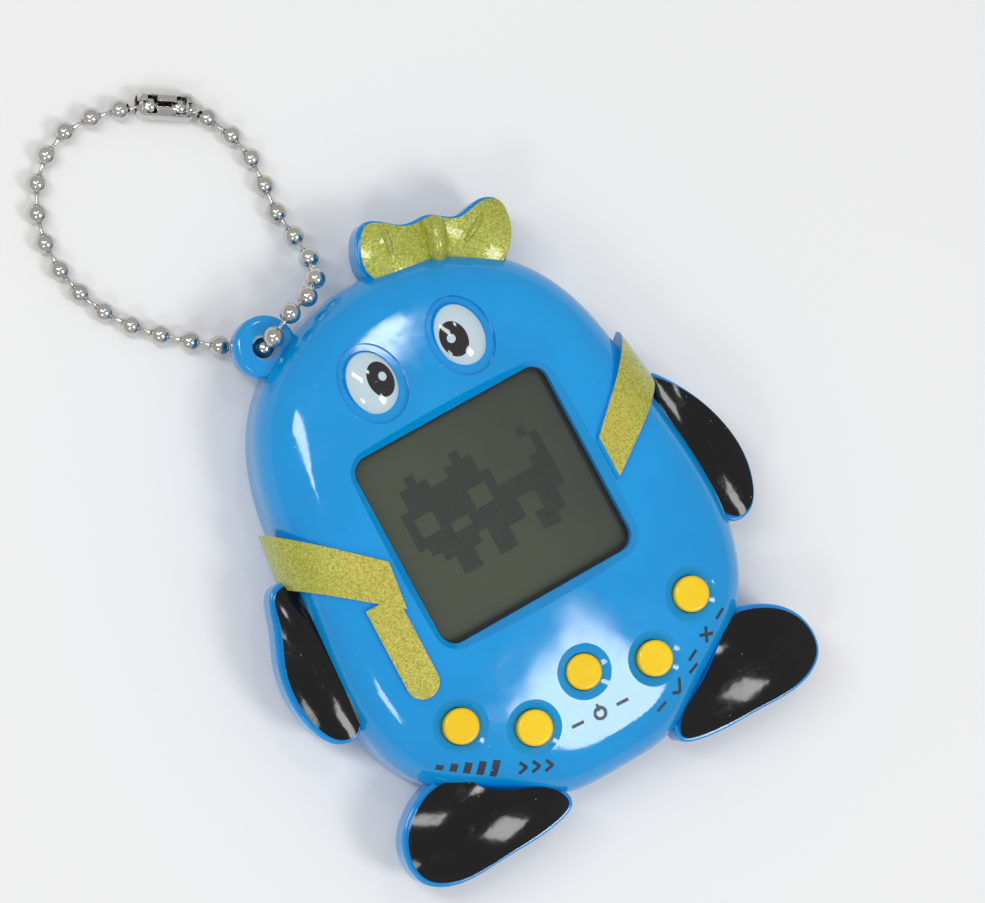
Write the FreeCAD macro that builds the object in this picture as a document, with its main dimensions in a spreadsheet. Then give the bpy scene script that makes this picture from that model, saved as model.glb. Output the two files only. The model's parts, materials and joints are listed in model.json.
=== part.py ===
import FreeCAD, Part
import math
import os
import Sketcher

# A pocket virtual pet: a penguin-shaped two-half case lying on its back.
# Frame: +Z out of the screen, +Y towards the head, +X to the screen's right.
# Origin: on the flat of the back, on the middle line, about halfway from the bow's tip to the feet.

V = FreeCAD.Vector
UP = V(0, 0, 1)
DOC = FreeCAD.newDocument("VirtualPet")
NODES = []

SIZES = {
    # case
    "wall": 1.6,
    "parting_height": 6.8,
    "crown_height": 15.2,
    "crown_radius": 170.0,
    "shoulder_radius": 6.0,
    "back_edge_radius": 3.0,
    "lobe_floor": 5.0,
    "lobe_edge_radius": 0.5,
    "rim_height": 8.9,
    "rim_width": 0.5,
    "lobe_skin": 1.4,
    "lug_x": -13.2,
    "lug_y": 27.75,
    "lug_radius": 3.6,
    "lug_hole_radius": 1.55,
    "lug_floor": 5.0,
    "lug_top": 8.6,
    "lug_edge_radius": 0.8,
    # raised and sunk detail on the front
    "band_raise": 0.6,
    "band_stand_off": 1.5,
    "moat_depth": 0.45,
    "eye_x": 5.7,
    "eye_y": 18.65,
    "eye_half_width": 3.0,
    "eye_half_height": 3.9,
    "moat_width": 0.8,
    "eye_top": 14.75,
    "eye_middle": 13.3,
    # window and display
    "window_y": 0.35,
    "window_width": 24.9,
    "window_height": 23.2,
    "window_corner": 2.0,
    "bezel_chamfer": 1.0,
    "frame_margin": 2.8,
    "frame_floor": 12.6,
    "lens_width": 29.0,
    "lens_height": 27.4,
    "lens_thick": 0.6,
    "lens_gap": 0.2,
    "glass_gap": 0.05,
    "glass_width": 28.0,
    "glass_height": 26.6,
    "glass_floor": 10.2,
    "glass_thick": 1.5,
    "film_thick": 0.2,
    "film_width": 26.6,
    "film_height": 25.0,
    "holder_width": 31.0,
    "holder_height": 29.6,
    "holder_thick": 2.7,
    "zebra_length": 26.0,
    "zebra_width": 1.6,
    "zebra_inset": 0.2,
    # circuit board and keypad
    "board_floor": 8.2,
    "board_thick": 1.0,
    "board_half_width": 19.8,
    "board_head_y": 15.6,
    "board_foot_y": -27.6,
    "board_head_inset": 2.5,
    "board_head_side": 8.0,
    "board_foot_side": 6.0,
    "board_foot_half_width": 10.5,
    "crystal_x": 10.5,
    "crystal_y": 9.5,
    "crystal_length": 6.0,
    "crystal_width": 2.0,
    "crystal_thick": 1.6,
    "chip_length": 1.6,
    "chip_width": 0.8,
    "chip_thick": 0.5,
    "web_thick": 0.7,
    "web_half_width": 18.9,
    "web_head_y": -15.8,
    "web_side_y": -21.6,
    "web_foot_y": -27.2,
    "web_foot_half_width": 11.0,
    "button_radius": 2.05,
    "button_top": 14.0,
    "button_crown": 0.35,
    "flange_radius": 2.55,
    "flange_floor": 10.7,
    "flange_thick": 0.5,
    "stem_radius": 1.3,
    "pill_radius": 1.2,
    "pill_thick": 0.3,
    "guide_radius": 2.15,
    "dish_radius": 3.25,
    "dish_depth": 1.0,
    "dome_foot_radius": 3.0,
    "dome_neck_radius": 2.4,
    "dome_wall": 0.4,
    # batteries, door and screws
    "battery_y": -5.0,
    "cell_radius": 5.8,
    "cell_thick": 5.4,
    "cell_pitch": 12.2,
    "cell_floor": 1.95,
    "box_width": 29.4,
    "box_height": 17.8,
    "box_top": 8.0,
    "bay_width": 24.8,
    "bay_height": 12.8,
    "bay_top": 7.55,
    "door_width": 27.0,
    "door_height": 15.4,
    "door_floor": 0.3,
    "door_thick": 1.2,
    "door_gap": 0.2,
    "door_lobe_y": 4.0,
    "door_lobe_radius": 3.4,
    "bridge_width": 6.0,
    "grip_y": -10.0,
    "grip_pitch": 1.2,
    "grip_length": 8.0,
    "grip_width": 0.5,
    "grip_depth": 0.3,
    "shank_radius": 0.8,
    "screw_head_radius": 1.6,
    "screw_head_thick": 0.9,
    "screw_sink_gap": 0.1,
    "slot_length": 2.0,
    "slot_width": 0.45,
    "slot_depth": 0.6,
    "door_screw_length": 5.0,
    # buzzer
    "buzzer_y": 17.6,
    "buzzer_radius": 6.75,
    "buzzer_floor": 2.4,
    "buzzer_thick": 0.2,
    "ceramic_radius": 4.5,
    "wire_radius": 0.35,
    # ball chain
    "bead_diameter": 2.4,
    "clasp_radius": 1.6,
    "clasp_length": 6.6,
}

# Outlines are lists of (x, y), clockwise from the top; each is a smooth closed curve.
BODY_RIGHT_HALF = [(0, 29.35), (9.6, 27.5), (17.4, 22.1), (21.5, 13.8), (23.1, 4.0), (24.6, -6.0),
                   (24.4, -15.5), (20.6, -23.9), (13.6, -28.8), (7.3, -32.5), (0, -33.2)]
WING = [(25.0, 4.0), (27.5, 0.35), (29.3, -4.15), (29.9, -8.75), (29.2, -12.35), (27.3, -14.95),
        (25.2, -15.2), (23.5, -13.15), (22.5, -4.65), (22.4, 2.35)]
FOOT = [(20.5, -23.85), (23.8, -25.2), (26.2, -27.5), (27.1, -30.3), (26.5, -33.1), (24.2, -34.8),
        (17.0, -35.3), (9.8, -34.9), (7.1, -33.5), (7.6, -31.6), (11.0, -29.0), (16.0, -25.6)]
BOW = [(3.5, 34.7), (5.2, 33.9), (7.0, 32.6), (8.5, 32.3), (10.1, 32.2), (11.5, 31.4), (12.9, 30.6),
       (14.9, 30.8), (16.9, 30.9), (18.3, 30.0), (18.5, 28.0), (17.3, 25.0), (15.4, 23.3), (8.0, 24.5),
       (2.0, 27.0), (0.3, 29.6), (1.0, 32.7), (2.1, 34.2)]
WING_PAD = {"middle": (26.2, -6.0), "half": (5.6, 13.8, 4.2), "turn": 0}
FOOT_PAD = {"middle": (17.0, -30.0), "half": (12.6, 8.2, 4.5), "turn": 0}
# The bow is two loops, each with one fold, and a knot.
BOW_PADS = [{"middle": (4.0, 30.5), "half": (7.2, 7.0, 4.1), "turn": -19},
            {"middle": (14.8, 27.6), "half": (7.4, 7.0, 4.1), "turn": -19},
            {"middle": (4.2, 31.4), "half": (0.9, 3.4, 4.6), "turn": -12},
            {"middle": (13.9, 28.4), "half": (3.8, 0.9, 4.6), "turn": 29},
            {"middle": (9.6, 29.6), "half": (1.9, 4.4, 4.9), "turn": -19}]
BOW_RIM_WIDTH = 0.35

# The scarf's two bands run up to the window's frame, and its tail hangs beside the window.
BAND_RIGHT = [(13.6, 1.0), (22.0, 8.65), (27.0, 13.0), (27.0, 5.3), (24.6, 3.75), (13.6, -3.9)]
BAND_LEFT = [(-13.9, 0.6), (-14.6, -4.95), (-25.0, 3.45), (-28.0, 6.0), (-28.0, 13.5), (-23.3, 9.15)]
TAIL_MIDDLE_X = -16.85
TAIL_HALF_WIDTH = 1.9
TAIL_TOP_Y = -3.0
TAIL_FOOT_Y = -12.9

# Buttons, left to right as the toy is held.
BUTTONS = {
    "status": (-15.2, -19.35),
    "select": (-7.95, -23.6),
    "reset": (0.0, -20.9),
    "decide": (7.95, -23.6),
    "cancel": (15.2, -19.35),
}
CASE_SCREWS_HEAD = [(-12.6, 20.6), (12.6, 20.6)]
CASE_SCREWS_FEET = [(-19.6, -29.6), (19.6, -29.6)]
HEAD_SCREW = {"seat": 2.4, "length": 7.0}
FOOT_SCREW = {"seat": 5.9, "length": 3.9}
BOSS_RADIUS = 2.5
TOLERANCE = 0.01
BOARD_PEGS = [(-15.5, 9.5), (15.5, 9.5), (-15.0, -18.4), (15.0, -18.4)]
PEG_RADIUS = 0.9
PEG_FOOT_RADIUS = 1.6
PEG_RISE = 0.8
PEG_GAP = 0.1
SUNK_FOOT = 0.5
SCREW_SPARE = 0.3
EYE_SUNK = 0.3
CLASP_GAP = 0.15
SOUND_HOLE_STEPS = (-2.6, 0, 2.6)
SOUND_HOLE_RADIUS = 0.6
GRIP_COUNT = 4
CHIP_COVER = {"middle": (0, 8.6), "half": (3.4, 3.4, 1.0)}
CHIP_PLACES = [(-9, 9), (-9, 11), (-12, 9), (-12, 11), (-18, -18), (18, -18)]
CONTACT_REACH = 15.4
CONTACT_WIDTH = 5.0
CONTACT_INNER_END = 2.4
HEAD_RECESS_RADIUS = 1.9
CLEARANCE_RADIUS = 0.95

# The ball chain's route, from inside the lug's hole, over the lug, round on the table and back.
CHAIN_ROUTE = [(-13.2, 27.75, 7.0), (-13.2, 27.75, 10.4), (-9.2, 30.0, 10.4), (-4.3, 30.8, 7.3),
               (-2.7, 34.9, 3.5), (-3.6, 40.6, 1.4), (-2.5, 46.8, 1.3), (-4.4, 53.0, 1.4),
               (-9.0, 57.6, 1.7), (-19.3, 60.4, 1.7), (-25.2, 57.4, 1.4), (-28.3, 51.5, 1.25),
               (-28.4, 45.0, 1.25), (-26.0, 38.9, 1.3), (-21.6, 34.1, 1.7), (-16.9, 30.4, 2.5),
               (-13.2, 27.75, 3.2), (-13.2, 27.75, 6.6)]
CLASP_RUN = 8

# The leads leave what they are soldered to square on, and meet the board square on.
WIRES = {
    "buzzer_wire_black": [(-5.4, 18.6, 2.6), (-5.4, 18.6, 4.0), (-6.3, 16.1, 5.2), (-6.4, 13.4, 6.4),
                          (-6.4, 13.4, 8.2)],
    "buzzer_wire_red": [(1.5, 18.2, 2.8), (1.5, 18.2, 4.3), (2.6, 15.9, 5.3), (3.4, 13.6, 6.4),
                        (3.4, 13.6, 8.2)],
    "battery_wire_red": [(-15.1, -4.0, 7.35), (-15.1, -4.0, 5.9), (-16.5, -1.7, 5.2), (-16.9, 1.2, 5.3),
                         (-16.6, 3.9, 6.3), (-16.6, 3.9, 8.2)],
    "battery_wire_black": [(15.1, -4.0, 7.35), (15.1, -4.0, 5.9), (16.5, -1.7, 5.2), (16.9, 1.2, 5.3),
                           (16.6, 3.9, 6.3), (16.6, 3.9, 8.2)],
}


def make_sheet():
    """The driving dimensions, one named cell each."""
    sheet = DOC.addObject("Spreadsheet::Sheet", "Sizes")
    for row, (alias, value) in enumerate(SIZES.items(), start=1):
        sheet.set("A%d" % row, alias)
        sheet.set("B%d" % row, str(value))
        sheet.setAlias("B%d" % row, alias)
    DOC.recompute()
    return sheet


SHEET = make_sheet()


def size(alias):
    """A driving dimension, read back from the sheet."""
    return float(SHEET.get(alias))


def bind(feature, **expressions):
    """Tie a feature's sizes and places to the sheet's cells."""
    for prop, expression in expressions.items():
        feature.setExpression(prop.replace("__", "."), cells(expression))


def cells(expression):
    """Write 'Sizes.' before each cell's name in an expression."""
    words = []
    for word in str(expression).split():
        sign = "-" if word.startswith("-") and len(word) > 1 and word[1].isalpha() else ""
        bare = word[len(sign):]
        words.append(sign + ("Sizes." + bare if bare in SIZES else bare))
    return " ".join(words)


def node(feature, name):
    """Keep a finished sub-part under its own name."""
    feature.Label = name
    NODES.append(feature)
    return feature


# ---------------------------------------------------------------- building blocks


def cylinder(name, radius, height, x, y, floor):
    """A Part::Cylinder standing on a floor height, all tied to the sheet."""
    solid = DOC.addObject("Part::Cylinder", name)
    bind(solid, Radius=radius, Height=height, Placement__Base__x=x, Placement__Base__y=y,
         Placement__Base__z=floor)
    return solid


def block(name, length, width, height, x, y, floor):
    """A Part::Box centred on x, y and standing on a floor height."""
    solid = DOC.addObject("Part::Box", name)
    bind(solid, Length=length, Width=width, Height=height,
         Placement__Base__x="%s - ( %s ) / 2" % (x, length),
         Placement__Base__y="%s - ( %s ) / 2" % (y, width), Placement__Base__z=floor)
    return solid


def cone(name, foot_radius, top_radius, height, x, y, floor):
    """A Part::Cone standing on a floor height."""
    solid = DOC.addObject("Part::Cone", name)
    bind(solid, Radius1=foot_radius, Radius2=top_radius, Height=height, Placement__Base__x=x,
         Placement__Base__y=y, Placement__Base__z=floor)
    return solid


def fuse(name, solids):
    """A Part::MultiFuse of several solids."""
    joined = DOC.addObject("Part::MultiFuse", name)
    joined.Shapes = solids
    return joined


def cut(name, base, tool):
    """A Part::Cut of a tool from a base."""
    result = DOC.addObject("Part::Cut", name)
    result.Base = base
    result.Tool = tool
    return result


def solid_feature(name, shape):
    """A free-form moulding as a Part::Feature of its own."""
    feature = DOC.addObject("Part::Feature", name)
    feature.Shape = shape
    feature.Placement = FreeCAD.Placement()
    return feature


def origin_plane(body, role):
    """One of a body's own origin planes, by its role."""
    return [item for item in body.Origin.OriginFeatures if item.Role == role][0]


def polygon_sketch(body, name, corners, floor):
    """A closed outline of straight lines on the body's XY plane, each corner tied to the sheet."""
    sketch = body.newObject("Sketcher::SketchObject", name)
    sketch.AttachmentSupport = (origin_plane(body, "XY_Plane"), [""])
    sketch.MapMode = "FlatFace"
    bind(sketch, AttachmentOffset__Base__z=floor)
    DOC.recompute()
    places = [(evaluate(x), evaluate(y)) for x, y in corners]
    for start, end in zip(places, places[1:] + places[:1]):
        sketch.addGeometry(Part.LineSegment(V(*start, 0), V(*end, 0)), False)
    count = len(corners)
    for index in range(count):
        sketch.addConstraint(Sketcher.Constraint("Coincident", index, 2, (index + 1) % count, 1))
    for index, (x, y) in enumerate(corners):
        tie_corner(sketch, "DistanceX", index, x)
        tie_corner(sketch, "DistanceY", index, y)
    return sketch


def tie_corner(sketch, direction, line, expression):
    """Hold one coordinate of a line's start at a sheet expression."""
    constraint = Sketcher.Constraint(direction, -1, 1, line, 1, evaluate(expression))
    number = sketch.addConstraint(constraint)
    sketch.setExpression("Constraints[%d]" % number, cells(expression))


def evaluate(expression):
    """The value of a sheet expression."""
    value = SHEET.evalExpression(cells(expression))
    return float(getattr(value, "Value", value))


def plate(name, corners, floor, thickness, corner_radius=None):
    """A flat plate as a PartDesign body: a padded outline with rounded upright edges."""
    body = DOC.addObject("PartDesign::Body", name)
    sketch = polygon_sketch(body, name + "_outline", corners, floor)
    pad = body.newObject("PartDesign::Pad", name + "_pad")
    pad.Profile = sketch
    bind(pad, Length=thickness)
    DOC.recompute()
    if corner_radius:
        rounding = body.newObject("PartDesign::Fillet", name + "_corners")
        rounding.Base = (pad, upright_edges(pad.Shape))
        bind(rounding, Radius=corner_radius)
        DOC.recompute()
    return body


def upright_edges(shape):
    """The names of a shape's straight edges along Z."""
    names = []
    for index, edge in enumerate(shape.Edges, start=1):
        if abs(edge.tangentAt(edge.FirstParameter).z) > 0.999:
            names.append("Edge%d" % index)
    return names


def pocket(body, name, corners, floor, depth):
    """Cut an outline upwards out of a PartDesign body, and make sure that it cut."""
    before = body.Shape.Volume
    sketch = polygon_sketch(body, name + "_outline", corners, floor)
    cavity = body.newObject("PartDesign::Pocket", name)
    cavity.Profile = sketch
    cavity.Reversed = True
    bind(cavity, Length=depth)
    DOC.recompute()
    check_smaller(body, before)
    return cavity


def round_holes(body, name, places, radius, floor, depth):
    """Cut round holes upwards through a PartDesign body."""
    before = body.Shape.Volume
    sketch = body.newObject("Sketcher::SketchObject", name + "_outline")
    sketch.AttachmentSupport = (origin_plane(body, "XY_Plane"), [""])
    sketch.MapMode = "FlatFace"
    bind(sketch, AttachmentOffset__Base__z=floor)
    for index, (x, y) in enumerate(places):
        sketch.addGeometry(Part.Circle(V(x, y, 0), UP, evaluate(radius)), False)
        number = sketch.addConstraint(Sketcher.Constraint("Radius", index, evaluate(radius)))
        sketch.setExpression("Constraints[%d]" % number, cells(radius))
        sketch.addConstraint(Sketcher.Constraint("DistanceX", -1, 1, index, 3, x))
        sketch.addConstraint(Sketcher.Constraint("DistanceY", -1, 1, index, 3, y))
    holes = body.newObject("PartDesign::Pocket", name)
    holes.Profile = sketch
    holes.Reversed = True
    bind(holes, Length=depth)
    DOC.recompute()
    check_smaller(body, before)


def check_smaller(body, before):
    """Stop if a cut took nothing away."""
    if body.Shape.Volume > before - 0.01:
        raise RuntimeError("a cut missed " + body.Label)


def rectangle(width, height, x, y):
    """The four corners of a rectangle, as sheet expressions."""
    return [("%s - ( %s ) / 2" % (x, width), "%s - ( %s ) / 2" % (y, height)),
            ("%s + ( %s ) / 2" % (x, width), "%s - ( %s ) / 2" % (y, height)),
            ("%s + ( %s ) / 2" % (x, width), "%s + ( %s ) / 2" % (y, height)),
            ("%s - ( %s ) / 2" % (x, width), "%s + ( %s ) / 2" % (y, height))]


# ---------------------------------------------------------------- the case's free-form surfaces


def mirrored(points):
    """The same outline on the other side, still clockwise."""
    return [(-x, y) for x, y in reversed(points)]


def closed_curve(points, height=0.0):
    """A smooth closed curve through an outline's points."""
    curve = Part.BSplineCurve()
    curve.interpolate(Points=[V(x, y, height) for x, y in points], PeriodicFlag=True)
    return curve


def grown(points, outward):
    """An outline moved outwards (or inwards, if negative) along its own normals."""
    curve = closed_curve(points)
    moved = []
    for x, y in points:
        tangent = curve.tangent(curve.parameter(V(x, y, 0)))[0]
        moved.append((x - tangent.y * outward, y + tangent.x * outward))
    return moved


def slab(points, floor, top):
    """An upright solid on a smooth closed outline."""
    face = Part.Face(Part.Wire([closed_curve(points, floor).toShape()]))
    return face.extrude(V(0, 0, top - floor))


def prism(corners, floor, top):
    """An upright solid on a straight-sided outline."""
    loop = [V(x, y, floor) for x, y in corners + corners[:1]]
    return Part.Face(Part.makePolygon(loop)).extrude(V(0, 0, top - floor))


def ellipsoid(x, y, z, half, turn=0):
    """A ball stretched to three half-sizes and turned about Z."""
    stretch = FreeCAD.Matrix()
    stretch.scale(*half)
    shape = Part.makeSphere(1.0).transformGeometry(stretch)
    shape.rotate(V(), UP, turn)
    shape.translate(V(x, y, z))
    return shape


BODY = BODY_RIGHT_HALF + mirrored(BODY_RIGHT_HALF[1:-1])


def other_side(pad):
    """The same pillow on the other side."""
    x, y = pad["middle"]
    return {"middle": (-x, y), "half": pad["half"], "turn": -pad["turn"]}


LOBES = [WING, mirrored(WING), FOOT, mirrored(FOOT)]
LOBE_PADS = [WING_PAD, other_side(WING_PAD), FOOT_PAD, other_side(FOOT_PAD)]


def crown(outward, floor):
    """The pillow-shaped front of the body, its whole surface moved outwards by a distance."""
    top = size("crown_height") + outward
    radius = size("crown_radius") + outward
    column = slab(grown(BODY, outward), floor, top + 1)
    ball = Part.makeSphere(radius, V(0, 0, top - radius))
    solid = column.common(ball)
    top_edges = [edge for edge in solid.Edges if edge.BoundBox.ZMin > floor + 1]
    return solid.makeFillet(size("shoulder_radius") + outward, top_edges)


def tub(outward, floor):
    """The back half of the body, with a rounded bottom edge."""
    column = slab(grown(BODY, outward), floor, size("parting_height"))
    edges = [edge for edge in column.Edges if edge.BoundBox.ZMax < floor + TOLERANCE]
    return column.makeFillet(size("back_edge_radius") + outward, edges)


def surface_height(x, y):
    """The height of the front's crown at a place away from its shoulders."""
    radius = size("crown_radius")
    return size("crown_height") - radius + math.sqrt(radius ** 2 - x ** 2 - y ** 2)


def lobe_front(points, pads, rim_width):
    """A flipper, foot or bow in the front half: a flat rim with one or more pillows inside it."""
    floor = size("parting_height")
    rim = slab(points, floor, size("rim_height"))
    top_edges = [edge for edge in rim.Edges if edge.BoundBox.ZMin > size("rim_height") - TOLERANCE]
    rim = rim.makeFillet(rim_width / 2, top_edges)
    column = slab(grown(points, -rim_width), floor, size("crown_height"))
    pillows = []
    for pad in pads:
        x, y = pad["middle"]
        pillows.append(column.common(ellipsoid(x, y, floor, pad["half"], pad["turn"])))
    return rim.fuse(pillows)


def lobe_back(points):
    """A flipper, foot or bow in the back half, rounded underneath."""
    column = slab(points, size("lobe_floor"), size("parting_height"))
    edges = [edge for edge in column.Edges if edge.BoundBox.ZMax < size("lobe_floor") + TOLERANCE]
    return column.makeFillet(size("lobe_edge_radius"), edges)


def lies_at(edge, height):
    """Whether an edge lies flat at a height."""
    return abs(edge.BoundBox.ZMin - height) < TOLERANCE and abs(edge.BoundBox.ZMax - height) < TOLERANCE


def lug_half(floor, top, rounded_height):
    """Half of the chain's eye: a short ring with one rounded outer edge and a neck to the head."""
    x, y = size("lug_x"), size("lug_y")
    ring = Part.makeCylinder(size("lug_radius"), top - floor, V(x, y, floor))
    edges = [edge for edge in ring.Edges if lies_at(edge, rounded_height)]
    return ring.makeFillet(size("lug_edge_radius"), edges)


def lug_hole():
    """The hole through the chain's eye."""
    place = V(size("lug_x"), size("lug_y"), 0)
    return Part.makeCylinder(size("lug_hole_radius"), size("crown_height"), place)


def scarf():
    """The scarf's two raised bands and its hanging tail, following the front's surface."""
    floor = size("parting_height")
    stand_off = size("band_stand_off")
    drop = stand_off - size("band_raise")
    raised = crown(stand_off, floor + drop)
    raised.translate(V(0, 0, -drop))
    top = size("crown_height") + 2
    bands = prism(BAND_RIGHT, floor, top).fuse(prism(BAND_LEFT, floor, top))
    left = TAIL_MIDDLE_X - TAIL_HALF_WIDTH
    right = TAIL_MIDDLE_X + TAIL_HALF_WIDTH
    tail = prism([(left, TAIL_FOOT_Y), (left, TAIL_TOP_Y), (right, TAIL_TOP_Y), (right, TAIL_FOOT_Y)],
                 floor, top)
    end = Part.makeCylinder(TAIL_HALF_WIDTH, top - floor, V(TAIL_MIDDLE_X, TAIL_FOOT_Y, floor))
    return bands.fuse(tail.fuse(end)).common(raised)


def eye_places():
    """The two eyes' centres."""
    return [(side * size("eye_x"), size("eye_y")) for side in (-1, 1)]


def eye_moats():
    """The shallow ring sunk round each eye."""
    lowered = crown(-size("moat_depth"), size("parting_height"))
    width = size("eye_half_width") + size("moat_width")
    height = size("eye_half_height") + size("moat_width")
    rings = []
    for x, y in eye_places():
        ellipse = Part.Ellipse(V(x, y + height, 0), V(x + width, y, 0), V(x, y, 0))
        column = Part.Face(Part.Wire([ellipse.toShape()])).extrude(V(0, 0, size("crown_height") + 2))
        rings.append(column.cut(lowered))
    return rings


def eye_domes():
    """The two bulging eyes, cut flat underneath."""
    middle = size("eye_middle")
    half = (size("eye_half_width"), size("eye_half_height"), size("eye_top") - middle)
    width = 4 * size("eye_x")
    upper = Part.makeBox(width, width, middle, V(-width / 2, size("eye_y") - width / 2, middle - EYE_SUNK))
    return [ellipsoid(x, y, middle, half).common(upper) for x, y in eye_places()]


def rounded_rectangle(width, height, corner, z):
    """A closed wire: a rectangle with round corners, centred on the window."""
    x, y = width / 2, height / 2
    middle = size("window_y")
    bend = corner * math.sqrt(0.5)
    edges = []
    for sx, sy in ((1, 1), (-1, 1), (-1, -1), (1, -1)):
        corner_x, corner_y = sx * (x - corner), middle + sy * (y - corner)
        on_side = V(corner_x + sx * corner, corner_y, z)
        on_end = V(corner_x, corner_y + sy * corner, z)
        between = V(corner_x + sx * bend, corner_y + sy * bend, z)
        first, last = (on_side, on_end) if sx * sy > 0 else (on_end, on_side)
        if edges:
            edges.append(Part.LineSegment(edges[-1].valueAt(edges[-1].LastParameter), first).toShape())
        edges.append(Part.Arc(first, between, last).toShape())
    edges.append(Part.LineSegment(edges[-1].valueAt(edges[-1].LastParameter), edges[0].valueAt(
        edges[0].FirstParameter)).toShape())
    return Part.Wire(edges)


def window_cut():
    """The window's straight walls and the sloping bezel above them."""
    width, height, corner = size("window_width"), size("window_height"), size("window_corner")
    chamfer = size("bezel_chamfer")
    floor = size("board_floor") + size("board_thick")
    wall_top = surface_height(width / 2, 0) - chamfer
    straight = Part.Face(rounded_rectangle(width, height, corner, floor)).extrude(V(0, 0, floor))
    slope = Part.makeLoft([
        rounded_rectangle(width, height, corner, wall_top),
        rounded_rectangle(width + 4 * chamfer, height + 4 * chamfer, corner + 2 * chamfer,
                          wall_top + 2 * chamfer)], True, True)
    return straight.fuse(slope)


def window_frame():
    """The flat seat under the window that the lens is glued to."""
    margin = 2 * size("frame_margin")
    floor = size("frame_floor")
    outer = rounded_rectangle(size("window_width") + margin, size("window_height") + margin,
                              size("window_corner"), floor)
    return Part.Face(outer).extrude(V(0, 0, size("crown_height") - floor)).common(
        crown(-size("wall") / 2, size("parting_height")))


def lens_seat():
    """The room under the frame that lets the lens lie flat."""
    gap = 2 * size("lens_gap")
    outer = rounded_rectangle(size("lens_width") + gap, size("lens_height") + gap, size("window_corner"),
                              size("parting_height"))
    return Part.Face(outer).extrude(V(0, 0, size("frame_floor") - size("parting_height")))


def dish(x, y):
    """The round hollow that a button stands in, with its guide hole."""
    depth, rim = size("dish_depth"), size("dish_radius")
    radius = (rim ** 2 + depth ** 2) / (2 * depth)
    height = surface_height(x, y)
    crown_middle = V(0, 0, size("crown_height") - size("crown_radius"))
    outward = (V(x, y, height) - crown_middle).normalize()
    ball = Part.makeSphere(radius, V(x, y, height) + outward * (radius - depth))
    guide = Part.makeCylinder(size("guide_radius"), size("crown_height"), V(x, y, size("parting_height")))
    return ball.fuse(guide)


def boss(x, y, radius, floor, top):
    """A round post for a screw."""
    return Part.makeCylinder(radius, top - floor, V(x, y, floor))


def lobe_pocket(points, floor, top):
    """The hollow inside a flipper or foot."""
    return slab(grown(points, -size("lobe_skin")), floor, top)


def front_shell():
    """The front half of the case, one moulding."""
    parting = size("parting_height")
    body = crown(0, parting)
    parts = [lobe_front(points, [pad], size("rim_width")) for points, pad in zip(LOBES, LOBE_PADS)]
    parts.append(lobe_front(BOW, BOW_PADS, BOW_RIM_WIDTH))
    parts.append(lug_half(parting, size("lug_top"), size("lug_top")))
    parts.append(scarf())
    body = body.fuse(parts)
    cavity = crown(-size("wall"), parting - 1)
    body = body.cut([cavity] + eye_moats())
    posts = [boss(x, y, BOSS_RADIUS, parting, size("crown_height")) for x, y in CASE_SCREWS_HEAD]
    posts = [post.common(crown(-size("wall") / 2, parting)) for post in posts]
    body = body.fuse(eye_domes() + posts + [window_frame()])
    hollows = [lobe_pocket(points, parting - 1, size("rim_height")) for points in LOBES]
    pillars = [boss(x, y, BOSS_RADIUS, parting - 2, size("crown_height")) for x, y in CASE_SCREWS_FEET]
    hollows = [hollow.cut([crown(0, parting - 2)] + pillars) for hollow in hollows]
    tools = hollows + [window_cut(), lens_seat(), lug_hole()]
    tools += [dish(x, y) for x, y in BUTTONS.values()]
    for places, screw in ((CASE_SCREWS_HEAD, HEAD_SCREW), (CASE_SCREWS_FEET, FOOT_SCREW)):
        depth = screw["seat"] + screw["length"] + SCREW_SPARE
        tools += [boss(x, y, size("shank_radius"), 0, depth) for x, y in places]
    return body.cut(tools)


def battery_box():
    """The battery bay's walls and ceiling, and the ledge that the door lies on."""
    y = size("battery_y")
    width, height = size("box_width"), size("box_height")
    walls = Part.makeBox(width, height, size("box_top"), V(-width / 2, y - height / 2, 0))
    screw_post = boss(0, y + height / 2, size("door_lobe_radius") + 1, 0, size("parting_height"))
    return walls.fuse(screw_post)


def battery_cuts():
    """The bay for the cells, the door's recess and the door screw's hole."""
    y = size("battery_y")
    bay_width, bay_height = size("bay_width"), size("bay_height")
    gap = size("door_gap")
    recess_top = size("door_floor") + size("door_thick")
    door_width, door_height = size("door_width") + 2 * gap, size("door_height") + 2 * gap
    bay = Part.makeBox(bay_width, bay_height, size("bay_top"), V(-bay_width / 2, y - bay_height / 2, 0))
    recess = Part.makeBox(door_width, door_height, recess_top, V(-door_width / 2, y - door_height / 2, 0))
    lobe_y = y + size("door_height") / 2 + size("door_lobe_y") - size("door_lobe_radius")
    lobe = boss(0, lobe_y, size("door_lobe_radius") + gap, 0, recess_top)
    bore = boss(0, lobe_y, size("shank_radius") + size("glass_gap"), 0,
                size("parting_height") - SUNK_FOOT)
    slots = Part.makeBox(2 * CONTACT_REACH, CONTACT_WIDTH, size("film_thick"),
                         V(-CONTACT_REACH, y - CONTACT_WIDTH / 2, size("bay_top") - size("film_thick")))
    return [bay, recess, lobe, bore, slots]


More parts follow.
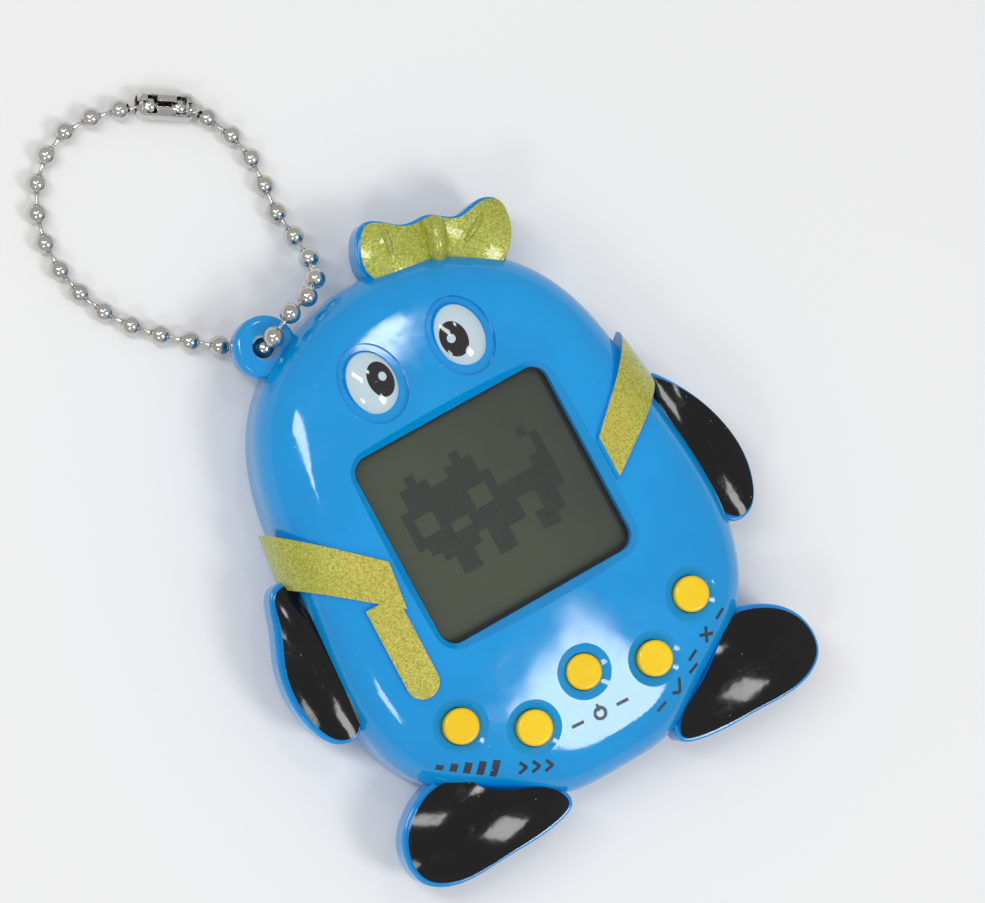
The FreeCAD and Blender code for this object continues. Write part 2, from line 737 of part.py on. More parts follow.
def back_shell():
    """The back half of the case, one moulding."""
    parting = size("parting_height")
    body = tub(0, 0).fuse([lobe_back(points) for points in LOBES] + [lobe_back(BOW)]
                          + [lug_half(size("lug_floor"), parting, size("lug_floor"))])
    body = body.cut(tub(-size("wall"), size("wall")))
    hollows = [lobe_pocket(points, size("lobe_floor") + size("lobe_skin"), parting) for points in LOBES]
    pillars = [boss(x, y, BOSS_RADIUS, 0, parting) for x, y in CASE_SCREWS_FEET]
    body = body.cut([hollow.cut([tub(0, 0)] + pillars) for hollow in hollows])
    posts = [boss(x, y, BOSS_RADIUS, SUNK_FOOT, parting) for x, y in CASE_SCREWS_HEAD]
    posts += [boss(x, y, PEG_FOOT_RADIUS, SUNK_FOOT, size("board_floor")) for x, y in BOARD_PEGS]
    posts += [boss(x, y, PEG_RADIUS, SUNK_FOOT, size("board_floor") + PEG_RISE) for x, y in BOARD_PEGS]
    seat = boss(0, size("buzzer_y"), size("buzzer_radius"), SUNK_FOOT, size("buzzer_floor"))
    seat = seat.cut(boss(0, size("buzzer_y"), size("buzzer_radius") - 1, 0, size("parting_height")))
    body = body.fuse(posts + [seat, battery_box()])
    tools = battery_cuts() + [lug_hole()]
    for places, screw in ((CASE_SCREWS_HEAD, HEAD_SCREW), (CASE_SCREWS_FEET, FOOT_SCREW)):
        for x, y in places:
            tools.append(boss(x, y, HEAD_RECESS_RADIUS, 0, screw["seat"]))
            tools.append(boss(x, y, CLEARANCE_RADIUS, 0, parting))
    for x in SOUND_HOLE_STEPS:
        tools.append(boss(x, size("buzzer_y"), SOUND_HOLE_RADIUS, 0, size("wall") + 1))
    return body.cut(tools)


# ---------------------------------------------------------------- display, board and keypad


def display():
    """The lens and the stack of the liquid-crystal display below it."""
    y = "window_y"
    lens_floor = "frame_floor - lens_thick"
    node(plate("window_lens", rectangle("lens_width", "lens_height", "0", y), lens_floor,
               "lens_thick", "window_corner"), "window_lens")
    node(plate("lcd_front_film", rectangle("film_width", "film_height", "0", y),
               "glass_floor + glass_thick", "film_thick"), "lcd_front_film")
    node(block("lcd_glass", "glass_width", "glass_height", "glass_thick", "0", y, "glass_floor"), "lcd_glass")
    node(block("lcd_back_film", "film_width", "film_height - 2 * zebra_width", "film_thick", "0",
               y + " + zebra_width", "glass_floor - film_thick"), "lcd_back_film")
    holder = plate("lcd_holder", rectangle("holder_width", "holder_height", "0", y),
                   "board_floor + board_thick", "holder_thick")
    opening = rectangle("glass_width + 2 * glass_gap", "glass_height + 2 * glass_gap", "0", y)
    pocket(holder, "lcd_holder_opening", opening, "board_floor + board_thick", "holder_thick")
    node(holder, "lcd_holder")
    node(block("zebra_strip", "zebra_length", "zebra_width",
               "glass_floor - board_floor - board_thick", "0",
               y + " - glass_height / 2 + zebra_width / 2 + zebra_inset",
               "board_floor + board_thick"), "zebra_strip")


def board():
    """The circuit board and what is soldered on its underside."""
    corners = [("-board_half_width + board_head_inset", "board_head_y"),
               ("board_half_width - board_head_inset", "board_head_y"),
               ("board_half_width", "board_head_y - board_head_side"),
               ("board_half_width", "board_foot_y + board_foot_side"),
               ("board_foot_half_width", "board_foot_y"),
               ("-board_foot_half_width", "board_foot_y"),
               ("-board_half_width", "board_foot_y + board_foot_side"),
               ("-board_half_width", "board_head_y - board_head_side")]
    base = plate("circuit_board", corners, "board_floor", "board_thick")
    round_holes(base, "board_peg_holes", BOARD_PEGS, str(PEG_RADIUS + PEG_GAP), "board_floor", "board_thick")
    node(base, "circuit_board")
    blob = ellipsoid(*CHIP_COVER["middle"], size("board_floor"), CHIP_COVER["half"])
    below = Part.makeBox(20, 20, size("board_floor"), V(-10, 0, 0))
    node(solid_feature("chip_cover", blob.common(below)), "chip_cover")
    node(block("timing_crystal", "crystal_length", "crystal_width", "crystal_thick", "crystal_x",
               "crystal_y", "board_floor - crystal_thick"), "timing_crystal")
    chips = []
    for index, (x, y) in enumerate(CHIP_PLACES):
        chips.append(block("chip_part_%d" % index, "chip_length", "chip_width", "chip_thick", str(x), str(y),
                           "board_floor - chip_thick"))
    node(fuse("board_parts", chips), "board_parts")


def keypad():
    """The rubber web, and for each button a cap, a dome and a contact pill."""
    web_floor = "board_floor + board_thick"
    corners = [("-web_half_width", "web_head_y"), ("web_half_width", "web_head_y"),
               ("web_half_width", "web_side_y"), ("web_foot_half_width", "web_foot_y"),
               ("-web_foot_half_width", "web_foot_y"), ("-web_half_width", "web_side_y")]
    web = plate("keypad_web", corners, web_floor, "web_thick")
    round_holes(web, "web_holes", list(BUTTONS.values()), "dome_neck_radius", web_floor, "web_thick")
    node(web, "keypad_web")
    for name, (x, y) in BUTTONS.items():
        button(name, str(x), str(y))


def button(name, x, y):
    """One push button: the hard cap, the rubber dome under its flange and the carbon pill."""
    cap = cylinder(name + "_cap", "button_radius", "button_top - flange_floor", x, y, "flange_floor")
    DOC.recompute()
    rounded = DOC.addObject("Part::Fillet", name + "_cap_rounded")
    rounded.Base = cap
    crown_edge = max(range(len(cap.Shape.Edges)), key=lambda i: cap.Shape.Edges[i].CenterOfMass.z)
    rounded.Edges = [(crown_edge + 1, size("button_crown"), size("button_crown"))]
    flange = cylinder(name + "_flange", "flange_radius", "flange_thick", x, y, "flange_floor")
    pill_top = "board_floor + board_thick + web_thick + pill_thick"
    stem = cylinder(name + "_stem", "stem_radius", "flange_floor - ( %s )" % pill_top, x, y, pill_top)
    node(fuse(name + "_button", [rounded, flange, stem]), name + "_button")
    node(cylinder(name + "_pill", "pill_radius", "pill_thick", x, y, "board_floor + board_thick + web_thick"),
         name + "_pill")
    web_top = "board_floor + board_thick + web_thick"
    rise = "flange_floor - ( %s )" % web_top
    outer = cone(name + "_dome_outer", "dome_foot_radius", "dome_neck_radius", rise, x, y, web_top)
    inner = cone(name + "_dome_inner", "dome_foot_radius - dome_wall", "dome_neck_radius - dome_wall",
                 rise, x, y, web_top)
    node(cut(name + "_dome", outer, inner), name + "_dome")


# ---------------------------------------------------------------- power and sound


def power():
    """The two button cells, their contacts and the leads to the board."""
    for side, name in ((-1, "battery_cell_left"), (1, "battery_cell_right")):
        x = "%d * cell_pitch / 2" % side
        node(cylinder(name, "cell_radius", "cell_thick", x, "battery_y", "cell_floor"), name)
    for side, name in ((-1, "contact_positive"), (1, "contact_negative")):
        node(block(name, str(CONTACT_REACH - CONTACT_INNER_END), str(CONTACT_WIDTH), "film_thick",
                   str(side * (CONTACT_REACH + CONTACT_INNER_END) / 2), "battery_y",
                   "cell_floor + cell_thick"), name)
    node(block("contact_bridge", "cell_pitch + bridge_width", "bridge_width", "film_thick", "0", "battery_y",
               "door_floor + door_thick"), "contact_bridge")


def door():
    """The battery door, a plate with a round lobe for its captive screw."""
    y = "battery_y"
    lobe_y = "battery_y + door_height / 2 + door_lobe_y - door_lobe_radius"
    leaf = block("door_leaf", "door_width", "door_height", "door_thick", "0", y, "door_floor")
    lobe = cylinder("door_lobe", "door_lobe_radius", "door_thick", "0", lobe_y, "door_floor")
    screw_hole = cylinder("door_screw_hole", "shank_radius", "door_thick + 1", "0", lobe_y, "door_floor")
    sink = cylinder("door_screw_sink", "screw_head_radius + screw_sink_gap", "screw_head_thick", "0",
                    lobe_y, "door_floor")
    grips = [block("door_grip_%d" % step, "grip_length", "grip_width", "grip_depth", "0",
                   "grip_y + %d * grip_pitch" % step, "door_floor") for step in range(GRIP_COUNT)]
    node(cut("battery_door", fuse("door_blank", [leaf, lobe]), fuse("door_cuts", [screw_hole, sink] + grips)),
         "battery_door")
    head_top = "door_floor + screw_head_thick"
    shank = cylinder("door_screw_shank", "shank_radius", "door_screw_length", "0", lobe_y, head_top)
    head = cylinder("door_screw_head", "screw_head_radius", "screw_head_thick - screw_sink_gap", "0", lobe_y,
                    "door_floor + screw_sink_gap")
    slots = cross_recess("door", "0", lobe_y, "door_floor")
    node(cut("door_screw", fuse("door_screw_blank", [shank, head]), fuse("door_slots", slots)), "door_screw")


def cross_recess(label, x, y, floor):
    """The two crossed slots that a screwdriver turns."""
    return [block(label + "_slot_a", "slot_length", "slot_width", "slot_depth", x, y, floor),
            block(label + "_slot_b", "slot_width", "slot_length", "slot_depth", x, y, floor)]


def case_screws():
    """The four self-tapping screws that hold the halves together."""
    solids = []
    for places, screw in ((CASE_SCREWS_HEAD, HEAD_SCREW), (CASE_SCREWS_FEET, FOOT_SCREW)):
        for x, y in places:
            solids.append(case_screw(len(solids), x, y, screw))
    node(fuse("case_screws", solids), "case_screws")


def case_screw(number, x, y, screw):
    """One screw, head down, with a cross recess."""
    label = "case_screw_%d" % number
    x, y, seat = str(x), str(y), str(screw["seat"])
    head = cylinder(label + "_head", "screw_head_radius", "screw_head_thick", x, y,
                    seat + " - screw_head_thick")
    shank = cylinder(label + "_shank", "shank_radius", str(screw["length"]), x, y, seat)
    slots = cross_recess(label, x, y, seat + " - screw_head_thick")
    return cut(label, fuse(label + "_blank", [head, shank]), fuse(label + "_slots", slots))


def buzzer():
    """The piezo sounder: a brass disc on its seat with a ceramic layer."""
    node(cylinder("buzzer_disc", "buzzer_radius", "buzzer_thick", "0", "buzzer_y", "buzzer_floor"),
         "buzzer_disc")
    node(cylinder("buzzer_ceramic", "ceramic_radius", "buzzer_thick", "0", "buzzer_y",
                  "buzzer_floor + buzzer_thick"), "buzzer_ceramic")


# ---------------------------------------------------------------- wires and chain


def bend_size(before, corner, after):
    """The turn at a route's point, its arc's radius and how far back the arc starts."""
    first, second = before - corner, after - corner
    turn = math.pi - first.getAngle(second)
    reach = 0.45 * min(first.Length, second.Length)
    return turn, reach / math.tan(turn / 2), reach


def rounded_path(name, route):
    """Straight runs joined by tangent arcs, as one wire."""
    points = [V(*place) for place in route]
    edges = []
    start = points[0]
    radii = []
    for before, corner, after in zip(points, points[1:], points[2:]):
        turn, radius, reach = bend_size(before, corner, after)
        radii.append(radius)
        towards = (before - corner).normalize()
        away = (after - corner).normalize()
        entry, leave = corner + towards * reach, corner + away * reach
        inward = (towards + away).normalize()
        middle = corner + inward * (radius / math.cos(turn / 2) - radius)
        edges.append(Part.LineSegment(start, entry).toShape())
        edges.append(Part.Arc(entry, middle, leave).toShape())
        start = leave
    edges.append(Part.LineSegment(start, points[-1]).toShape())
    print(name, "bend radii:", " ".join("%.1f" % radius for radius in radii))
    return Part.Wire(edges)


def tube(name, route, radius):
    """A round cord swept along a rounded path."""
    path = rounded_path(name, route)
    direction = V(*route[1]) - V(*route[0])
    section = Part.Wire([Part.makeCircle(radius, V(*route[0]), direction)])
    solid = path.makePipeShell([section], True, False)
    expected = math.pi * radius ** 2 * path.Length
    print(name, "length %.1f mm, volume %.2f of %.2f" % (path.Length, solid.Volume, expected))
    if abs(solid.Volume / expected - 1) > 0.02:
        raise RuntimeError(name + " did not sweep cleanly")
    return solid


def wires():
    """The buzzer's and the batteries' short leads."""
    radius = size("wire_radius")
    for name, route in WIRES.items():
        node(solid_feature(name, tube(name, route, radius)), name)


def chain():
    """The ball chain as a plain tube of its beads' size, and the sleeve that joins its ends."""
    bead = size("bead_diameter") / 2
    node(solid_feature("ball_chain", tube("ball_chain", CHAIN_ROUTE, bead)), "ball_chain")
    start, end = V(*CHAIN_ROUTE[CLASP_RUN]), V(*CHAIN_ROUTE[CLASP_RUN + 1])
    along = (end - start).normalize()
    foot = (start + end) * 0.5 - along * (size("clasp_length") / 2)
    sleeve = Part.makeCylinder(size("clasp_radius"), size("clasp_length"), foot, along)
    bore = Part.makeCylinder(bead + CLASP_GAP, size("clasp_length"), foot, along)
    node(solid_feature("chain_clasp", sleeve.cut(bore)), "chain_clasp")


# ---------------------------------------------------------------- the whole toy


def build():
    """Make every sub-part."""
    node(solid_feature("front_shell", front_shell()), "front_shell")
    node(solid_feature("back_shell", back_shell()), "back_shell")
    display()
    board()
    keypad()
    power()
    door()
    case_screws()
    buzzer()
    wires()
    chain()
    DOC.recompute()


def check():
    """Stop unless every object computed and every sub-part is a sound solid."""
    for item in DOC.Objects:
        if "Invalid" in item.State or "Error" in item.State:
            raise RuntimeError(item.Label + " failed: " + str(item.State))
    for item in NODES:
        if item.Shape.isNull() or not item.Shape.isValid():
            raise RuntimeError(item.Label + " has no sound shape")


def export():
    """Write each sub-part to its own file."""
    os.makedirs("parts", exist_ok=True)
    for item in NODES:
        item.Shape.exportStep(os.path.join("parts", item.Label + ".step"))
        print(item.Label, len(item.Shape.Solids), "solid(s), %.1f mm3" % item.Shape.Volume)


build()
check()
export()
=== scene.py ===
import json
import math
import bmesh
import bpy
from mathutils import Matrix, Vector

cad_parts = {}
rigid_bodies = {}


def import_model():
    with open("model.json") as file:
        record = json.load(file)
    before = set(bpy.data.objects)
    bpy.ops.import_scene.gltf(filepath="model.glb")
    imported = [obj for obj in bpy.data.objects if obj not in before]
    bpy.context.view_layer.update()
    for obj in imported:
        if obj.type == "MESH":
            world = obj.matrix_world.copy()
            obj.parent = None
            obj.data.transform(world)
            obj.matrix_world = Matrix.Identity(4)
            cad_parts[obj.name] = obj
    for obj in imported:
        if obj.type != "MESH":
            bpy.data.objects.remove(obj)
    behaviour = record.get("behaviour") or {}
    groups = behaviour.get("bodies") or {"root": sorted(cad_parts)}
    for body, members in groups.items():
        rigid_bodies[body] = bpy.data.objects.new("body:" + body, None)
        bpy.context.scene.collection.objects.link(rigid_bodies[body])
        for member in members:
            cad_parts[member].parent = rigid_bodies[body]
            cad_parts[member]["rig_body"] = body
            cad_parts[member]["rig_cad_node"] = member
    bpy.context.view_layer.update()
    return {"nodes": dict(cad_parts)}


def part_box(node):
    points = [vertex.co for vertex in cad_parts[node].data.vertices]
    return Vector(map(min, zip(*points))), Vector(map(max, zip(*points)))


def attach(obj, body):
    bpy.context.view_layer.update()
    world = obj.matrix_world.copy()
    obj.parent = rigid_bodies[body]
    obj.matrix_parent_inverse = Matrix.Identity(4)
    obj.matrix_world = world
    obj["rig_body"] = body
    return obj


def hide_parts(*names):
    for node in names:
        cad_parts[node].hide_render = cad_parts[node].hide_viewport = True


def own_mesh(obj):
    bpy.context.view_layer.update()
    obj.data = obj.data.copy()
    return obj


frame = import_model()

# Lengths are written in millimetres and multiplied by MM. +Z comes out of the screen, +Y is the head.
MM = 0.001
NODES = frame["nodes"]
WINDOW_MIDDLE_Y = 0.35


# ---- working with pieces -------------------------------------------------------------

def deselect():
    bpy.ops.object.select_all(action="DESELECT")


def take(piece):
    """Make a piece the only one selected."""
    deselect()
    piece.select_set(True)
    bpy.context.view_layer.objects.active = piece


def edit(piece):
    take(piece)
    bpy.ops.object.mode_set(mode="EDIT")


def leave():
    bpy.ops.object.mode_set(mode="OBJECT")


def pick(kind, wanted):
    """Select the verts, edges or faces of the edited mesh for which wanted() is true."""
    bpy.ops.mesh.select_all(action="DESELECT")
    bpy.ops.mesh.select_mode(type={"verts": "VERT", "edges": "EDGE", "faces": "FACE"}[kind])
    mesh = bmesh.from_edit_mesh(bpy.context.object.data)
    for part in getattr(mesh, kind):
        if wanted(part):
            part.select_set(True)
    mesh.select_flush_mode()
    bmesh.update_edit_mesh(bpy.context.object.data)


def named(name):
    """Name the piece that was just added."""
    piece = bpy.context.object
    piece.name = name
    piece.data.name = name
    return piece


def settle(piece):
    """Put a piece's place, turn and size into its mesh."""
    take(piece)
    bpy.ops.object.transform_apply(location=True, rotation=True, scale=True)
    return piece


def apply_modifier(piece, kind, **settings):
    take(piece)
    modifier = piece.modifiers.new(kind.title(), kind)
    for key, value in settings.items():
        setattr(modifier, key, value)
    bpy.ops.object.modifier_apply(modifier=modifier.name)
    return piece


def copied(piece, name, place=None):
    """A copy with its own mesh, moved by a matrix."""
    twin = piece.copy()
    twin.data = piece.data.copy()
    twin.name = name
    bpy.context.collection.objects.link(twin)
    if place is not None:
        twin.data.transform(place)
    return twin


def joined(pieces, name):
    """Several meshes as one piece, under a new name."""
    deselect()
    for piece in pieces:
        piece.select_set(True)
    bpy.context.view_layer.objects.active = pieces[0]
    if len(pieces) > 1:
        bpy.ops.object.join()
    return named(name)


def smooth(piece, degrees=35):
    take(piece)
    bpy.ops.object.shade_smooth_by_angle(angle=math.radians(degrees))
    return piece


def remove(piece):
    bpy.data.objects.remove(piece, do_unlink=True)


def mount(piece, material, body, slot, *nodes):
    """Give a finished piece its material and its body, and hide the CAD nodes it stands for. The slot is not
    used.
    """
    if material is not None:
        piece.data.materials.clear()
        piece.data.materials.append(material)
    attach(piece, body)
    if nodes:
        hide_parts(*nodes)
    return piece


def merged_copy(node, name):
    """A CAD node's shape as a new piece, with its loose triangles merged."""
    piece = NODES[node].copy()
    piece.data = NODES[node].data.copy()
    piece.name = name
    piece.parent = None
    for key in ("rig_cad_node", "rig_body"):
        del piece[key]
    bpy.context.collection.objects.link(piece)
    edit(piece)
    bpy.ops.mesh.select_all(action="SELECT")
    bpy.ops.mesh.customdata_custom_splitnormals_clear()
    bpy.ops.mesh.remove_doubles(threshold=2e-6)
    leave()
    return piece


# ---- camera --------------------------------------------------------------------------

def make_camera():
    camera = bpy.data.objects.new("camera", bpy.data.cameras.new("camera"))
    bpy.context.collection.objects.link(camera)
    camera.location = (-0.10426, 0.03357, 0.45394)
    camera.rotation_euler = [math.radians(turn) for turn in (3.49, -13.669, -29.136)]
    camera.data.lens = 149.1
    camera.data.sensor_width = 36
    camera.data.clip_start = 0.01
    bpy.context.scene.camera = camera


# ---- ball chain ----------------------------------------------------------------------

# The chain's route in metres: from inside the lug's hole, over the lug, round on the table and back.
CHAIN_ROUTE = [(-.0132, .02775, .007), (-.0132, .02775, .0104), (-.0092, .03, .0104), (-.0043, .0308, .0073),
               (-.0027, .0349, .0035), (-.0036, .0406, .0014), (-.0025, .0468, .0013), (-.0044, .053, .0014),
               (-.009, .0576, .0017), (-.0193, .0604, .0017), (-.0252, .0574, .0014), (-.0283, .0515, .00125),
               (-.0284, .045, .00125), (-.026, .0389, .0013), (-.0216, .0341, .0017), (-.0169, .0304, .0025),
               (-.0132, .02775, .0032), (-.0132, .02775, .0066)]
BEAD_RADIUS = 1.2 * MM
BEAD_PITCH = 3.45 * MM
LINK_RADIUS = 0.27 * MM
CLASP_RADIUS = 1.6 * MM
CLASP_LENGTH = 6.6 * MM
CLASP_SHARE = 0.43
CLASP_SLOT_HALF = 0.32 * MM
CLASP_EYE_HALF = 1.0 * MM
CLASP_EYE_PLACE = 1.73 * MM
CLASP_EYE_REACH = 0.62 * MM
DIMPLE_DEPTH = 0.12 * MM
DIMPLE_SHARE = 0.86
ROD_OVERLAP = 0.5 * MM
ROD_WAIST = 0.78


def route_line():
    """Points along the chain's smooth line, read from its NURBS spline."""
    curve = bpy.data.curves.new("chain_route", "CURVE")
    curve.dimensions = "3D"
    spline = curve.splines.new("NURBS")
    spline.points.add(len(CHAIN_ROUTE) - 1)
    for point, place in zip(spline.points, CHAIN_ROUTE):
        point.co = (*place, 1)
    spline.order_u = 3
    spline.use_endpoint_u = True
    spline.resolution_u = 24
    holder = bpy.data.objects.new("chain_route", curve)
    bpy.context.collection.objects.link(holder)
    bpy.context.view_layer.update()
    mesh = bpy.data.meshes.new_from_object(holder)
    line = [vertex.co.copy() for vertex in mesh.vertices]
    remove(holder)
    return line


def along(line, distance):
    """The place and direction at a distance along a line of points."""
    left = distance
    for here, there in zip(line, line[1:]):
        step = (there - here).length
        if left <= step or there is line[-1]:
            return here.lerp(there, left / step if step else 0), (there - here).normalized()
        left -= step


def line_length(line):
    return sum((there - here).length for here, there in zip(line, line[1:]))


def make_bead():
    """One hollow bead with dimpled poles, and the rod that leads to the next bead."""
    bpy.ops.mesh.primitive_uv_sphere_add(segments=20, ring_count=12, radius=BEAD_RADIUS)
    bead = named("bead")
    edit(bead)
    pick("verts", lambda v: abs(v.co.z) > 0.999 * BEAD_RADIUS)
    bpy.ops.mesh.delete(type="VERT")
    for side in (-1, 1):
        pick("edges", lambda e: e.is_boundary and side * e.verts[0].co.z > 0 and side * e.verts[1].co.z > 0)
        bpy.ops.mesh.extrude_region_move(
            TRANSFORM_OT_translate={"value": (0, 0, -side * DIMPLE_DEPTH)})
        bpy.ops.transform.resize(value=(DIMPLE_SHARE, DIMPLE_SHARE, 1))
        bpy.ops.mesh.edge_face_add()
    bpy.ops.mesh.select_all(action="SELECT")
    bpy.ops.mesh.normals_make_consistent(inside=False)
    leave()
    gap = BEAD_PITCH - 2 * BEAD_RADIUS
    bpy.ops.mesh.primitive_cylinder_add(vertices=10, radius=LINK_RADIUS, depth=gap + ROD_OVERLAP,
                                        location=(0, 0, BEAD_PITCH / 2))
    rod = settle(named("rod"))
    edit(rod)
    pick("faces", lambda f: abs(f.normal.z) > 0.9)
    bpy.ops.mesh.inset(thickness=0.02 * MM)
    pick("edges", lambda e: abs(e.verts[0].co.z - e.verts[1].co.z) > 0.5 * MM)
    bpy.ops.mesh.subdivide(number_cuts=3)
    pick("verts", lambda v: abs(v.co.z - BEAD_PITCH / 2) < 0.1 * MM)
    bpy.ops.transform.resize(value=(ROD_WAIST, ROD_WAIST, 1))
    leave()
    return smooth(joined([bead, rod], "bead"), 60)


def make_clasp(line, middle):
    """The chain's connector: a rolled sleeve with a slot along it and pinched ends."""
    bpy.ops.mesh.primitive_cylinder_add(vertices=32, radius=CLASP_RADIUS - 0.1 * MM, depth=CLASP_LENGTH,
                                        end_fill_type="NOTHING")
    clasp = named("chain_connector")
    edit(clasp)
    pick("edges", lambda e: abs(e.verts[0].co.z - e.verts[1].co.z) > MM)
    bpy.ops.mesh.subdivide(number_cuts=11)
    pick("faces", lambda f: f.calc_center_median().x > 0 and abs(f.calc_center_median().y) < CLASP_SLOT_HALF
         and abs(f.calc_center_median().z) < CLASP_LENGTH)
    bpy.ops.mesh.delete(type="FACE")
    pick("faces", lambda f: f.calc_center_median().x > 0 and abs(f.calc_center_median().y) < CLASP_EYE_HALF
         and abs(abs(f.calc_center_median().z) - CLASP_EYE_PLACE) < CLASP_EYE_REACH)
    bpy.ops.mesh.delete(type="FACE")
    for side in (-1, 1):
        end = side * CLASP_LENGTH / 2
        pick("verts", lambda v: abs(v.co.z - end) < 0.01 * MM)
        bpy.ops.transform.resize(value=(0.72, 0.72, 1), center_override=(0, 0, end))
    leave()
    apply_modifier(clasp, "SOLIDIFY", thickness=0.2 * MM, offset=0)
    apply_modifier(clasp, "BEVEL", width=0.05 * MM, segments=2, limit_method="ANGLE")
    smooth(clasp, 40)
    place, heading = along(line, middle)
    turn = heading.to_track_quat("Z", "X").to_matrix().to_4x4()
    clasp.data.transform(Matrix.Translation(place) @ turn)
    return clasp


def make_chain():
    line = route_line()
    whole = line_length(line)
    count = round(whole / BEAD_PITCH)
    pitch = whole / count
    bead = make_bead()
    beads = []
    for number in range(count):
        place = along(line, number * pitch)[0]
        beyond = along(line, min((number + 1) * pitch, whole))[0]
        turn = (beyond - place).to_track_quat("Z", "Y").to_matrix().to_4x4()
        beads.append(copied(bead, f"bead_{number}", Matrix.Translation(place) @ turn))
    remove(bead)
    chain = joined(beads, "bead_chain")
    clasp = make_clasp(line, CLASP_SHARE * whole)
    return chain, clasp, line


# ---- shader building -----------------------------------------------------------------

def tint(red, green, blue):
    """A colour as the eye reads it, 0 to 255, in linear light."""
    return tuple(((v / 255 + 0.055) / 1.055) ** 2.4 if v > 10 else v / 255 / 12.92
                 for v in (red, green, blue)) + (1.0,)


def put(tree, kind, feeds=None, **settings):
    """Add a node. feeds gives its inputs a value or another node's output; returns the node."""
    node = tree.nodes.new("ShaderNode" + kind)
    for key, value in settings.items():
        setattr(node, key, value)
    for key, value in (feeds or {}).items():
        if isinstance(value, bpy.types.Node):
            value = value.outputs[0]
        if isinstance(value, bpy.types.NodeSocket):
            tree.links.new(value, node.inputs[key])
        else:
            node.inputs[key].default_value = value
    return node


def calc(tree, operation, first, second=0.0, clamp=False):
    """One sum on values; returns its output."""
    return put(tree, "Math", {0: first, 1: second}, operation=operation, use_clamp=clamp).outputs[0]


def blend_colour(tree, share, first, second):
    """The first colour where share is 0, the second where it is 1."""
    node = put(tree, "Mix", data_type="RGBA")
    for socket, value in ((node.inputs[0], share), (node.inputs[6], first), (node.inputs[7], second)):
        if isinstance(value, bpy.types.NodeSocket):
            tree.links.new(value, socket)
        else:
            socket.default_value = value
    return node.outputs[2]


def ramp(tree, value, low, high, clamp=True):
    """0 below low, 1 above high, a soft step between."""
    node = put(tree, "MapRange", {"Value": value, "From Min": low, "From Max": high},
               interpolation_type="SMOOTHSTEP", clamp=clamp)
    return node.outputs[0]


def millimetres(tree):
    """Object coordinates in millimetres."""
    here = put(tree, "TexCoord").outputs["Object"]
    return put(tree, "VectorMath", {0: here, "Scale": 1000.0}, operation="SCALE").outputs[0]


def new_group(name, takes, gives):
    group = bpy.data.node_groups.new(name, "ShaderNodeTree")
    for label, kind, value in takes:
        socket = group.interface.new_socket(label, in_out="INPUT", socket_type="NodeSocket" + kind)
        if value is not None:
            socket.default_value = value
    for label in gives:
        group.interface.new_socket(label, in_out="OUTPUT", socket_type="NodeSocketFloat")
    return group, group.nodes.new("NodeGroupInput"), group.nodes.new("NodeGroupOutput")


def peel_group():
    """The gentle waves and the fine grain of a moulded or painted surface."""
    group, given, result = new_group("moulded_skin", [("Place", "Vector", None), ("Wave", "Float", 2.5),
                                                      ("Grain", "Float", 0.12)], ("Height", "Cloud"))
    wave = put(group, "TexNoise", {"Vector": given.outputs[0], "Detail": 1.0,
                                   "Scale": calc(group, "DIVIDE", 1.0, given.outputs[1])})
    grain = put(group, "TexNoise", {"Vector": given.outputs[0], "Detail": 2.0,
                                    "Scale": calc(group, "DIVIDE", 1.0, given.outputs[2])})
    cloud = put(group, "TexNoise", {"Vector": given.outputs[0], "Scale": 0.09, "Detail": 3.0})
    height = calc(group, "ADD", wave.outputs[0], calc(group, "MULTIPLY", grain.outputs[0], 0.08))
    group.links.new(height, result.inputs[0])
    group.links.new(ramp(group, cloud.outputs[0], 0.35, 0.68), result.inputs[1])
    return group


def wear_group():
    """Hair-thin scratches, specks of dust and soft smears of handling."""
    group, given, result = new_group("handling_wear", [("Place", "Vector", None), ("Amount", "Float", 0.5)],
                                     ("Scratches", "Dust", "Smear"))
    hairs = []
    for turn, stretch, size in ((0.5, 18.0, 0.42), (2.2, 26.0, 0.33), (-0.9, 22.0, 0.5)):
        laid = put(group, "Mapping", {"Vector": given.outputs[0], "Rotation": (0, 0, turn),
                                      "Scale": (size, size * stretch, size * stretch)})
        noise = put(group, "TexNoise", {"Vector": laid, "Scale": 0.35, "Detail": 1.5, "Distortion": 0.15})
        line = calc(group, "ABSOLUTE", calc(group, "SUBTRACT", noise.outputs[0], 0.5))
        hairs.append(calc(group, "SUBTRACT", 1.0, ramp(group, line, 0.0, 0.006)))
    patch = put(group, "TexNoise", {"Vector": given.outputs[0], "Scale": 0.3, "Detail": 2.0})
    where = ramp(group, patch.outputs[0], 0.52, 0.68)
    total = calc(group, "MAXIMUM", calc(group, "MAXIMUM", hairs[0], hairs[1]), hairs[2])
    total = calc(group, "MULTIPLY", calc(group, "MULTIPLY", total, where), given.outputs[1], clamp=True)
    cells = put(group, "TexVoronoi", {"Vector": given.outputs[0], "Scale": 0.9, "Randomness": 1.0})
    chosen = put(group, "SeparateColor", {0: cells.outputs["Color"]})
    speck = calc(group, "SUBTRACT", 1.0, ramp(group, cells.outputs["Distance"], 0.03, 0.07))
    rare = calc(group, "GREATER_THAN", chosen.outputs[0], 0.72)
    dust = calc(group, "MULTIPLY", calc(group, "MULTIPLY", speck, rare), given.outputs[1], clamp=True)
    smear = put(group, "TexNoise", {"Vector": given.outputs[0], "Scale": 0.22, "Detail": 5.0,
                                    "Roughness": 0.65, "Distortion": 0.6})
    group.links.new(total, result.inputs[0])
    group.links.new(dust, result.inputs[1])
    group.links.new(ramp(group, smear.outputs[0], 0.45, 0.75), result.inputs[2])
    return group


